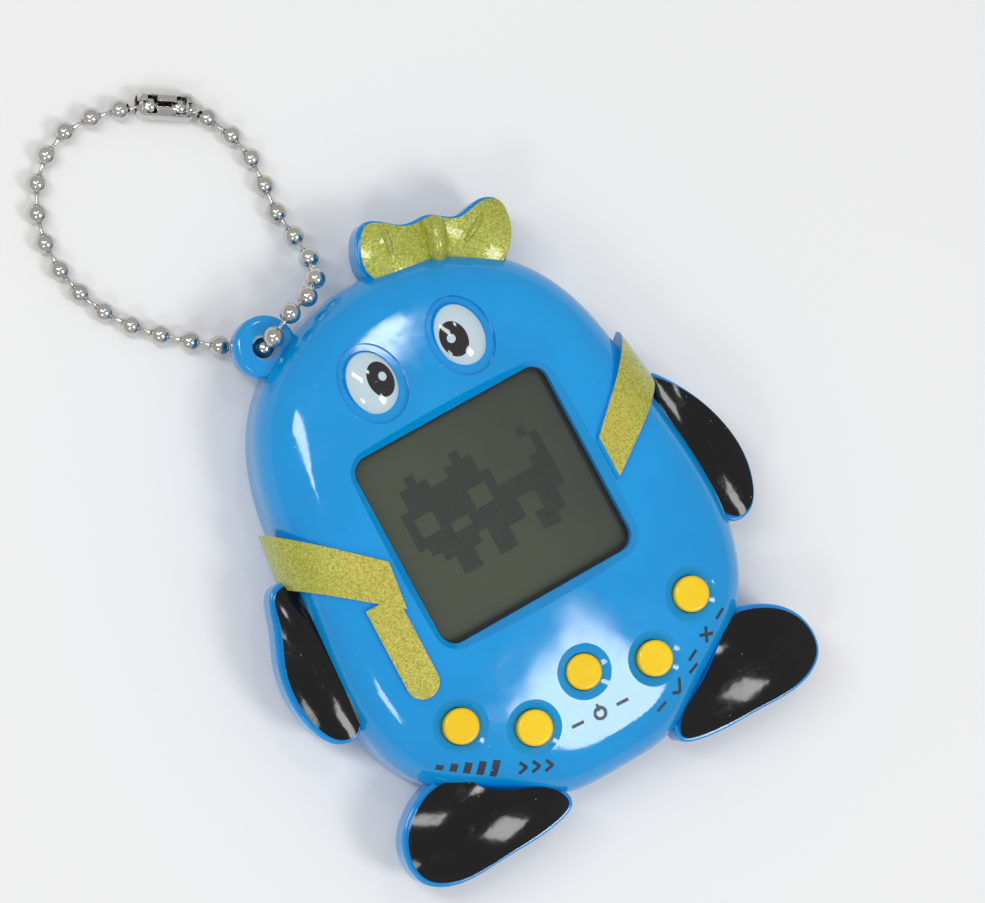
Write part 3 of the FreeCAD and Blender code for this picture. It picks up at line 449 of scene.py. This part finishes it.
def use_group(tree, group, feeds):
    node = tree.nodes.new("ShaderNodeGroup")
    node.node_tree = group
    for key, value in feeds.items():
        if isinstance(value, bpy.types.NodeSocket):
            tree.links.new(value, node.inputs[key])
        else:
            node.inputs[key].default_value = value
    return node


def blank(name, **values):
    """A material with a Principled shader whose plain values are set on its own sockets."""
    material = bpy.data.materials.new(name)
    material.use_nodes = True
    tree = material.node_tree
    shader = tree.nodes["Principled BSDF"]
    for key, value in values.items():
        shader.inputs[key.replace("_", " ")].default_value = value
    return material, tree, shader


def feed(tree, shader, **links):
    for key, value in links.items():
        tree.links.new(value, shader.inputs[key.replace("_", " ")])


def skin(tree, shader, colour, shade, roughness, wave=2.5, peel=0.01, worn=0.5, dust=tint(225, 225, 222)):
    """Lay the moulded skin and the wear over a colour; colour is a value or a socket."""
    place = millimetres(tree)
    skin_node = use_group(tree, PEEL, {"Place": place, "Wave": wave, "Grain": 0.12})
    wear = use_group(tree, WEAR, {"Place": place, "Amount": worn})
    toned = blend_colour(tree, calc(tree, "MULTIPLY", skin_node.outputs[1], 0.55), colour, shade)
    dusty = blend_colour(tree, calc(tree, "MULTIPLY", wear.outputs["Dust"], 0.55), toned, dust)
    rough = calc(tree, "ADD", roughness, calc(tree, "MULTIPLY", wear.outputs["Scratches"], 0.22))
    rough = calc(tree, "ADD", rough, calc(tree, "MULTIPLY", wear.outputs["Smear"], 0.05))
    rough = calc(tree, "ADD", rough, calc(tree, "MULTIPLY", wear.outputs["Dust"], 0.4), clamp=True)
    lift = calc(tree, "ADD", skin_node.outputs[0], calc(tree, "MULTIPLY", wear.outputs["Dust"], 0.5))
    lift = calc(tree, "SUBTRACT", lift, calc(tree, "MULTIPLY", wear.outputs["Scratches"], 0.12))
    bump = put(tree, "Bump", {"Height": lift, "Distance": peel * MM, "Strength": 1.0})
    feed(tree, shader, Base_Color=dusty, Roughness=rough, Normal=bump.outputs[0])
    return place


def moulded(name, colour, shade, roughness, wave=2.5, peel=0.01, worn=0.5, **values):
    material, tree, shader = blank(name, **values)
    skin(tree, shader, tint(*colour), tint(*shade), roughness, wave, peel, worn)
    return material


PEEL = peel_group()
WEAR = wear_group()


# ---- materials -----------------------------------------------------------------------

def glitter_paint():
    """Gold paint full of fine flakes that turns to green at the sides and on the bow."""
    material, tree, shader = blank("glitter_paint", IOR=1.52, Coat_Weight=0.6, Coat_Roughness=0.05)
    place = millimetres(tree)
    flakes = put(tree, "TexVoronoi", {"Vector": place, "Scale": 6.5})
    split = put(tree, "SeparateColor", {0: flakes.outputs["Color"]})
    side = put(tree, "SeparateXYZ", {0: place})
    cloud = put(tree, "TexNoise", {"Vector": place, "Scale": 0.12, "Detail": 2.0})
    away = calc(tree, "MAXIMUM", ramp(tree, calc(tree, "ABSOLUTE", side.outputs[0]), 14.0, 25.0),
                ramp(tree, side.outputs[1], 15.0, 25.0))
    greener = calc(tree, "ADD", calc(tree, "MULTIPLY", away, 0.75),
                   calc(tree, "MULTIPLY", calc(tree, "SUBTRACT", cloud.outputs[0], 0.5), 0.9), clamp=True)
    base = blend_colour(tree, greener, tint(186, 170, 36), tint(140, 164, 40))
    sparkle = blend_colour(tree, calc(tree, "MULTIPLY", split.outputs[0], 0.62), base, tint(220, 214, 112))
    dark = calc(tree, "GREATER_THAN", split.outputs[1], 0.66)
    flecked = blend_colour(tree, calc(tree, "MULTIPLY", dark, 0.5), sparkle, tint(112, 120, 26))
    tilt = put(tree, "Bump", {"Height": split.outputs[2], "Distance": 0.03 * MM, "Strength": 0.6})
    metal = calc(tree, "MULTIPLY", split.outputs[0], 0.35)
    rough = calc(tree, "ADD", 0.28, calc(tree, "MULTIPLY", split.outputs[1], 0.25))
    feed(tree, shader, Base_Color=flecked, Metallic=metal, Roughness=rough, Normal=tilt.outputs[0])
    return material


def eye_print():
    """The printed eye on its dome: white, a black pupil and a white spot, one ellipse inside another."""
    material, tree, shader = blank("eye_print", IOR=1.5, Coat_Weight=0.5, Coat_Roughness=0.03)
    place = millimetres(tree)
    side = put(tree, "SeparateXYZ", {0: place})

    def oval(middle_x, middle_y, half_width, half_height):
        across = calc(tree, "SUBTRACT", calc(tree, "ABSOLUTE", side.outputs[0]), middle_x)
        across = calc(tree, "POWER", calc(tree, "ABSOLUTE", calc(tree, "DIVIDE", across, half_width)), 2.0)
        upward = calc(tree, "SUBTRACT", side.outputs[1], middle_y)
        upward = calc(tree, "POWER", calc(tree, "ABSOLUTE", calc(tree, "DIVIDE", upward, half_height)), 2.0)
        return calc(tree, "ADD", across, upward)

    white = calc(tree, "SUBTRACT", 1.0, ramp(tree, oval(EYE_X, EYE_Y, 2.75, 3.62), 0.98, 1.02))
    pupil = calc(tree, "SUBTRACT", 1.0, ramp(tree, oval(4.77, EYE_Y, 1.52, 2.08), 0.97, 1.03))
    spot = calc(tree, "SUBTRACT", 1.0, ramp(tree, oval(4.47, EYE_Y + 0.2, 0.48, 0.52), 0.85, 1.1))
    grain = put(tree, "TexNoise", {"Vector": place, "Scale": 3.0, "Detail": 3.0})
    ink_white = blend_colour(tree, grain.outputs[0], tint(200, 219, 225), tint(182, 205, 214))
    ink_black = blend_colour(tree, grain.outputs[0], tint(20, 18, 20), tint(34, 30, 32))
    colour = blend_colour(tree, white, tint(4, 150, 220), ink_white)
    colour = blend_colour(tree, pupil, colour, ink_black)
    colour = blend_colour(tree, spot, colour, ink_white)
    skin(tree, shader, colour, colour, 0.08, wave=2.0, peel=0.004, worn=0.4)
    return material


def display_film():
    """The display's dull olive face, a little darker towards two corners: painted shade from the window's
    wall, broken up by a random cloud of tone.
    """
    material, tree, shader = blank("display_film", IOR=1.45, Coat_Weight=0.2, Coat_Roughness=0.03)
    place = millimetres(tree)
    side = put(tree, "SeparateXYZ", {0: place})
    cloud = put(tree, "TexNoise", {"Vector": place, "Scale": 0.08, "Detail": 2.0})
    # Painted shade: the film darkens towards the right and the top, where the window's wall shades it; the
    # noise cloud adds random tone.
    wall_shade_slope = calc(tree, "ADD", calc(tree, "MULTIPLY", side.outputs[0], 0.034),
                 calc(tree, "MULTIPLY", side.outputs[1], 0.012))
    shade = ramp(tree, calc(tree, "ADD", wall_shade_slope, cloud.outputs[0]), 0.3, 1.15)
    colour = blend_colour(tree, shade, tint(58, 67, 40), tint(34, 43, 28))
    weave = put(tree, "TexNoise", {"Vector": place, "Scale": 9.0, "Detail": 2.0})
    colour = blend_colour(tree, calc(tree, "MULTIPLY", weave.outputs[0], 0.25), colour, tint(40, 46, 30))
    rough = calc(tree, "ADD", 0.35, calc(tree, "MULTIPLY", weave.outputs[0], 0.1))
    bump = put(tree, "Bump", {"Height": weave.outputs[0], "Distance": 0.002 * MM})
    feed(tree, shader, Base_Color=colour, Roughness=rough, Normal=bump.outputs[0])
    return material


def see_through(name, colour, alpha, roughness=0.04):
    """A clear sheet, with the faint smears of handling in its gloss."""
    material, tree, shader = blank(name, IOR=1.49, Alpha=alpha)
    skin(tree, shader, tint(*colour), tint(*colour), roughness, wave=6.0, peel=0.001, worn=0.5)
    return material


def striped_rubber():
    """The contact strip: thin black and pale layers by turns."""
    material, tree, shader = blank("striped_rubber")
    place = millimetres(tree)
    bands = put(tree, "TexWave", {"Vector": place, "Scale": 3.1, "Distortion": 0.1}, bands_direction="X")
    grain = put(tree, "TexNoise", {"Vector": place, "Scale": 8.0})
    stripe = ramp(tree, bands.outputs["Fac"], 0.4, 0.6)
    colour = blend_colour(tree, stripe, tint(24, 24, 24), tint(206, 150, 150))
    bump = put(tree, "Bump", {"Height": grain.outputs[0], "Distance": 0.01 * MM})
    rough = calc(tree, "ADD", 0.5, calc(tree, "MULTIPLY", grain.outputs[0], 0.2))
    feed(tree, shader, Base_Color=colour, Roughness=rough, Normal=bump.outputs[0])
    return material


def printed_board():
    """Green lacquer over copper tracks, which stand a little proud."""
    material, tree, shader = blank("printed_board", IOR=1.5)
    place = millimetres(tree)
    tracks = put(tree, "TexBrick", {"Vector": place, "Scale": 1.0, "Mortar Size": 0.16, "Mortar Smooth": 0.1,
                                    "Brick Width": 3.1, "Row Height": 1.3})
    vias = put(tree, "TexVoronoi", {"Vector": place, "Scale": 0.35})
    pad = calc(tree, "LESS_THAN", vias.outputs["Distance"], 0.12)
    copper = calc(tree, "MAXIMUM", tracks.outputs["Fac"], pad)
    grain = put(tree, "TexNoise", {"Vector": place, "Scale": 4.0, "Detail": 3.0})
    green = blend_colour(tree, grain.outputs[0], tint(20, 96, 52), tint(14, 78, 44))
    colour = blend_colour(tree, calc(tree, "MULTIPLY", tracks.outputs["Fac"], 0.7), green, tint(60, 140, 70))
    colour = blend_colour(tree, pad, colour, tint(200, 190, 150))
    bump = put(tree, "Bump", {"Height": copper, "Distance": 0.03 * MM})
    rough = calc(tree, "ADD", 0.28, calc(tree, "MULTIPLY", grain.outputs[0], 0.15))
    feed(tree, shader, Base_Color=colour, Metallic=calc(tree, "MULTIPLY", pad, 0.8), Roughness=rough,
         Normal=bump.outputs[0])
    return material


def metal(name, colour, roughness, wave=0.8, worn=0.8):
    shade = tuple(int(value * 0.86) for value in colour)
    return moulded(name, colour, shade, roughness, wave=wave, peel=0.004, worn=worn, Metallic=1.0)


def turned_steel():
    """Steel with a fine wavy grain and the scratches and dust of handling."""
    material, tree, shader = blank("screw_steel", Metallic=1.0)
    skin(tree, shader, tint(186, 186, 184), tint(150, 150, 148), 0.24, wave=0.7, peel=0.004, worn=1.0)
    return material


EYE_X = 5.7
EYE_Y = 18.65

blue = moulded("blue_gloss", (4, 150, 220), (2, 138, 208), 0.07, wave=3.2, peel=0.006, worn=0.6, IOR=1.55)
black = moulded("black_gloss_paint", (9, 9, 10), (17, 17, 19), 0.09, wave=1.3, peel=0.012, worn=1.0,
                IOR=1.42)
glitter = glitter_paint()
eyes = eye_print()
yellow = moulded("yellow_gloss", (246, 208, 18), (234, 190, 12), 0.2, wave=1.5, peel=0.008, worn=0.5, IOR=1.5)


# ---- the case ------------------------------------------------------------------------

def paint_patch(piece, slot_number, seed, sharpness=14):
    """Give one smooth patch of a shape a paint: the patch that holds the point nearest the seed."""
    index = piece.closest_point_on_mesh(Vector(seed) * MM)[3]
    edit(piece)
    bpy.ops.mesh.select_all(action="DESELECT")
    bpy.ops.mesh.select_mode(type="FACE")
    mesh = bmesh.from_edit_mesh(piece.data)
    mesh.faces.ensure_lookup_table()
    mesh.faces[index].select_set(True)
    mesh.select_flush_mode()
    bmesh.update_edit_mesh(piece.data)
    bpy.ops.mesh.faces_select_linked_flat(sharpness=math.radians(sharpness))
    piece.active_material_index = slot_number
    bpy.ops.object.material_slot_assign()
    leave()


BLACK_PATCHES = [(-26.2, -6, 11), (26.2, -6, 11), (-17.5, -30.2, 12), (17.5, -30.2, 12)]
GLITTER_PATCHES = [(2.0, 31, 11), (7.0, 30.5, 11), (12, 30, 11), (16.5, 27.5, 11), (4.2, 31.4, 12),
                   (13.9, 28.4, 12), (9.6, 29.6, 12), (23, 7, 15), (-23, 5, 15), (-16.85, -9, 16)]
EYE_PATCHES = [(-EYE_X, EYE_Y, 15), (EYE_X, EYE_Y, 15)]


def make_front():
    front = merged_copy("front_shell", "front_case")
    front.data.materials.clear()
    for paint in (blue, black, glitter, eyes):
        front.data.materials.append(paint)
    for number, seeds in ((1, BLACK_PATCHES), (2, GLITTER_PATCHES), (3, EYE_PATCHES)):
        for seed in seeds:
            paint_patch(front, number, seed)
    smooth(front, 30)
    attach(front, "case")
    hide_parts("front_shell")
    return front


# ---- display -------------------------------------------------------------------------

PET = ["..#....#........",
       ".###..###.....#.",
       ".########......#",
       "##########.....#",
       "#..####..#....##",
       "#..####..#######",
       "####..##########",
       ".##########..###",
       "..####.####..##.",
       "...##..##...###.",
       "...##..##...##.."]
CELL = 1.155 * MM
DOT_PITCH = CELL / 3
DOT = 0.31 * MM
PICTURE_LEFT = -9.5 * MM
PICTURE_TOP = 7.1 * MM + WINDOW_MIDDLE_Y * MM
PICTURE_HEIGHT = 11.935 * MM


def make_picture():
    """The pet on the display: each dark square is nine dots."""
    bpy.ops.mesh.primitive_plane_add(size=DOT, location=(0, 0, 0))
    square = settle(named("dots"))
    for step in ((DOT_PITCH, 0, 0), (0, -DOT_PITCH, 0)):
        apply_modifier(square, "ARRAY", count=3, use_relative_offset=False, use_constant_offset=True,
                       constant_offset_displace=step)
    squares = []
    for row, line in enumerate(PET):
        for column, mark in enumerate(line):
            if mark == "#":
                place = (PICTURE_LEFT + column * CELL, PICTURE_TOP - row * CELL, PICTURE_HEIGHT)
                squares.append(copied(square, "dots", Matrix.Translation(place)))
    remove(square)
    picture = joined(squares, "screen_picture")
    shadow = copied(picture, "screen_shadow", Matrix.Translation((0.16 * MM, -0.13 * MM, -0.012 * MM)))
    return picture, shadow


def make_border():
    """A thin black line round the window, just under the lens."""
    bpy.ops.mesh.primitive_plane_add(size=1, location=(0, WINDOW_MIDDLE_Y * MM, 11.96 * MM))
    border = named("lens_border")
    border.scale = (26.2 * MM, 24.5 * MM, 1)
    settle(border)
    edit(border)
    bpy.ops.mesh.select_all(action="SELECT")
    bpy.ops.mesh.bevel(offset=2.8 * MM, segments=7, affect="VERTICES")
    bpy.ops.mesh.select_mode(type="FACE")
    bpy.ops.mesh.select_all(action="SELECT")
    bpy.ops.mesh.inset(thickness=1.1 * MM)
    bpy.ops.mesh.delete(type="FACE")
    leave()
    return apply_modifier(border, "SOLIDIFY", thickness=0.02 * MM, offset=0)


# ---- pictograms under the buttons ------------------------------------------------------

STROKE = 0.34 * MM
MARK_SIZE = 1.15
LABELS = {"status": (-16.5, -23.9, -36), "select": (-9.85, -27.5, -24), "reset": (-0.5, -25.9, -3),
          "decide": (9.0, -27.9, 19), "cancel": (14.8, -24.3, 26)}


def bar(x, y, width, height=STROKE / MM, turn=0):
    """A flat ink bar, in millimetres, about the mark's own middle."""
    bpy.ops.mesh.primitive_plane_add(size=1)
    piece = named("bar")
    piece.scale = (width * MM, height * MM, 1)
    piece.rotation_euler = (0, 0, math.radians(turn))
    piece.location = (x * MM, y * MM, 0)
    settle(piece)
    edit(piece)
    bpy.ops.mesh.select_all(action="SELECT")
    bpy.ops.mesh.subdivide(number_cuts=3)
    leave()
    return piece


def ring(radius):
    """A flat ink ring."""
    bpy.ops.mesh.primitive_circle_add(vertices=28, radius=radius * MM, fill_type="NGON")
    piece = named("ring")
    edit(piece)
    bpy.ops.mesh.select_all(action="SELECT")
    bpy.ops.mesh.inset(thickness=STROKE)
    bpy.ops.mesh.delete(type="FACE")
    leave()
    return piece


def dashes():
    """The dash on each side of a mark."""
    return [bar(-2.5, 0, 1.3), bar(2.5, 0, 1.3)]


def status_mark():
    return [bar(-2.7 + 1.35 * step, 0.14 * step - 0.3, 0.75, 0.5 + 0.28 * step) for step in range(5)]


def select_mark():
    arms = []
    for x in (-1.1, 0.2, 1.5):
        arms += [bar(x, 0.26, 0.95, turn=-38), bar(x, -0.26, 0.95, turn=38)]
    return arms


def reset_mark():
    return [ring(0.72), bar(0, 0.62, 0.3, 0.75)] + dashes()


def decide_mark():
    return [bar(-0.5, -0.22, 0.85, turn=-45), bar(0.28, 0.02, 1.5, turn=52)] + dashes()


def cancel_mark():
    return [bar(0, 0, 1.6, turn=45), bar(0, 0, 1.6, turn=-45)] + dashes()


def make_labels(front):
    """Each mark is laid flat over its place and pressed down onto the case."""
    labels = []
    marks = {"status": status_mark, "select": select_mark, "reset": reset_mark,
             "decide": decide_mark, "cancel": cancel_mark}
    for name, (x, y, turn) in LABELS.items():
        label = joined(marks[name](), name + "_mark")
        label.data.transform(Matrix.Translation((x * MM, y * MM, 17 * MM))
                             @ Matrix.Rotation(math.radians(turn), 4, "Z")
                             @ Matrix.Diagonal((MARK_SIZE, MARK_SIZE, 1, 1)))
        apply_modifier(label, "SHRINKWRAP", target=front, wrap_method="PROJECT", use_project_z=True,
                       use_negative_direction=True, use_positive_direction=False, offset=0.012 * MM)
        labels.append(label)
    return labels


# ---- keypad skirts ---------------------------------------------------------------------

SKIRT_BULGE = [(10.1, 1.015), (10.3, 1.03), (10.5, 1.02)]


def make_skirts():
    """The soft rubber skirt under each button, made in its resting shape; the real one buckles as the button
    goes down.
    """
    bpy.ops.mesh.primitive_cone_add(vertices=32, radius1=3.0 * MM, radius2=2.4 * MM, depth=0.8 * MM,
                                    end_fill_type="NOTHING", location=(0, 0, 10.3 * MM))
    skirt = settle(named("skirt"))
    edit(skirt)
    pick("edges", lambda e: abs(e.verts[0].co.z - e.verts[1].co.z) > 0.5 * MM)
    bpy.ops.mesh.subdivide(number_cuts=3)
    for height, size in SKIRT_BULGE:
        pick("verts", lambda v: abs(v.co.z - height * MM) < 0.01 * MM)
        bpy.ops.transform.resize(value=(size, size, 1), center_override=(0, 0, height * MM))
    leave()
    apply_modifier(skirt, "SOLIDIFY", thickness=0.32 * MM, offset=-1)
    apply_modifier(skirt, "BEVEL", width=0.06 * MM, segments=2, limit_method="ANGLE")
    smooth(skirt, 40)
    skirts = {}
    for name in LABELS:
        low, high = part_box(name + "_dome")
        middle = Vector(((low.x + high.x) / 2, (low.y + high.y) / 2, 0))
        skirts[name] = copied(skirt, name + "_skirt", Matrix.Translation(middle))
    remove(skirt)
    return skirts


# ---- stage ---------------------------------------------------------------------------

def make_stage():
    bpy.ops.mesh.primitive_plane_add(size=4, location=(0, 0, -0.00005))
    floor = named("floor")
    material = blank("floor", Base_Color=tint(236, 236, 236), Roughness=0.6)[0]
    floor.data.materials.append(material)


LAMP_DISTANCE = 0.6


def make_lights():
    world = bpy.data.worlds.new("studio")
    bpy.context.scene.world = world
    world.use_nodes = True
    world.node_tree.nodes["Background"].inputs[0].default_value = (1, 1, 1, 1)
    world.node_tree.nodes["Background"].inputs[1].default_value = 0.5
    middle = Vector((0, 0, 10 * MM))
    for name, direction, width, height, power in (
            ("strip", (-0.3, 0.35, 0.88), 0.084, 0.34, 1.0),
            ("front", (0.23, -0.46, 0.86), 0.13, 0.19, 0.9),
            ("head", (0.2, 0.28, 0.94), 0.05, 0.05, 0.12),
            ("flank", (-0.6, -0.3, 0.74), 0.1, 0.1, 0.3)):
        lamp = bpy.data.lights.new(name, "AREA")
        lamp.shape = "RECTANGLE"
        lamp.size = width
        lamp.size_y = height
        lamp.energy = power
        holder = bpy.data.objects.new(name, lamp)
        bpy.context.collection.objects.link(holder)
        heading = Vector(direction).normalized()
        holder.location = middle + heading * LAMP_DISTANCE
        holder.rotation_euler = heading.to_track_quat("Z", "Y").to_euler()


# ---- making --------------------------------------------------------------------------

make_camera()
chain, clasp, chain_line = make_chain()
nickel = metal("nickel", (214, 212, 206), 0.14, wave=0.5)
mount(chain, nickel, "case", "nickel_chain", "ball_chain")
mount(clasp, nickel, "case", "nickel_chain", "chain_clasp")

front_case = make_front()
picture, shadow = make_picture()
pixel_ink = moulded("pixel_ink", (10, 15, 13), (16, 21, 18), 0.4, worn=0.2, Alpha=0.92)
pixel_shadow = moulded("pixel_shadow", (40, 46, 36), (40, 46, 36), 0.6, worn=0.0, Alpha=0.2)
mount(picture, pixel_ink, "case", "polariser_film")
mount(shadow, pixel_shadow, "case", "polariser_film")
# Plain black for the thin line round the window.
border_black = moulded("border_black", (14, 16, 20), (20, 22, 26), 0.35, worn=0.2)
mount(make_border(), border_black, "case", "clear_plastic")
label_ink = moulded("label_ink", (44, 50, 62), (60, 70, 84), 0.4, worn=0.8)
for label in make_labels(front_case):
    mount(label, label_ink, "case", "blue_plastic")
rubber = moulded("grey_rubber", (120, 124, 126), (104, 108, 110), 0.6, wave=0.8, worn=0.4)
for name, skirt in make_skirts().items():
    mount(skirt, rubber, "case", "grey_rubber", name + "_dome")
    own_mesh(skirt)

steel = metal("bright_steel", (196, 196, 192), 0.2)
red = moulded("red_wire", (190, 26, 20), (160, 20, 16), 0.35, wave=0.6)
dark = moulded("black_wire", (22, 22, 24), (34, 34, 36), 0.4, wave=0.6)
finishes = {
    "back_shell": blue, "battery_door": blue,
    "window_lens": see_through("window_lens", (120, 128, 126), 0.05),
    "lcd_front_film": display_film(), "lcd_glass": see_through("display_glass", (196, 214, 200), 0.35),
    "lcd_back_film": metal("reflector_film", (176, 180, 170), 0.35),
    "lcd_holder": moulded("white_plastic", (226, 226, 220), (210, 210, 202), 0.3),
    "zebra_strip": striped_rubber(), "circuit_board": printed_board(),
    "chip_cover": moulded("black_epoxy", (16, 16, 18), (28, 28, 30), 0.25, wave=1.6, peel=0.05),
    "timing_crystal": steel, "board_parts": moulded("ceramic_chips", (150, 122, 88), (120, 96, 70), 0.4),
    "keypad_web": rubber, "battery_cell_left": steel, "battery_cell_right": steel,
    "contact_positive": steel, "contact_negative": steel, "contact_bridge": steel,
    "door_screw": turned_steel(), "buzzer_disc": metal("brass", (204, 168, 84), 0.22),
    "buzzer_ceramic": moulded("white_ceramic", (224, 220, 208), (206, 202, 190), 0.4),
    "buzzer_wire_red": red, "battery_wire_red": red, "buzzer_wire_black": dark, "battery_wire_black": dark,
}
carbon = moulded("carbon_rubber", (24, 24, 24), (40, 40, 40), 0.7)
for name, node in NODES.items():
    finish = finishes.get(name)
    if name.endswith("_button"):
        finish = yellow
    if name.endswith("_pill"):
        finish = carbon
    if name == "case_screws":
        finish = finishes["door_screw"]
    if finish:
        node.data.materials.clear()
        node.data.materials.append(finish)

make_stage()
make_lights()
bpy.context.scene.view_settings.view_transform = "Standard"
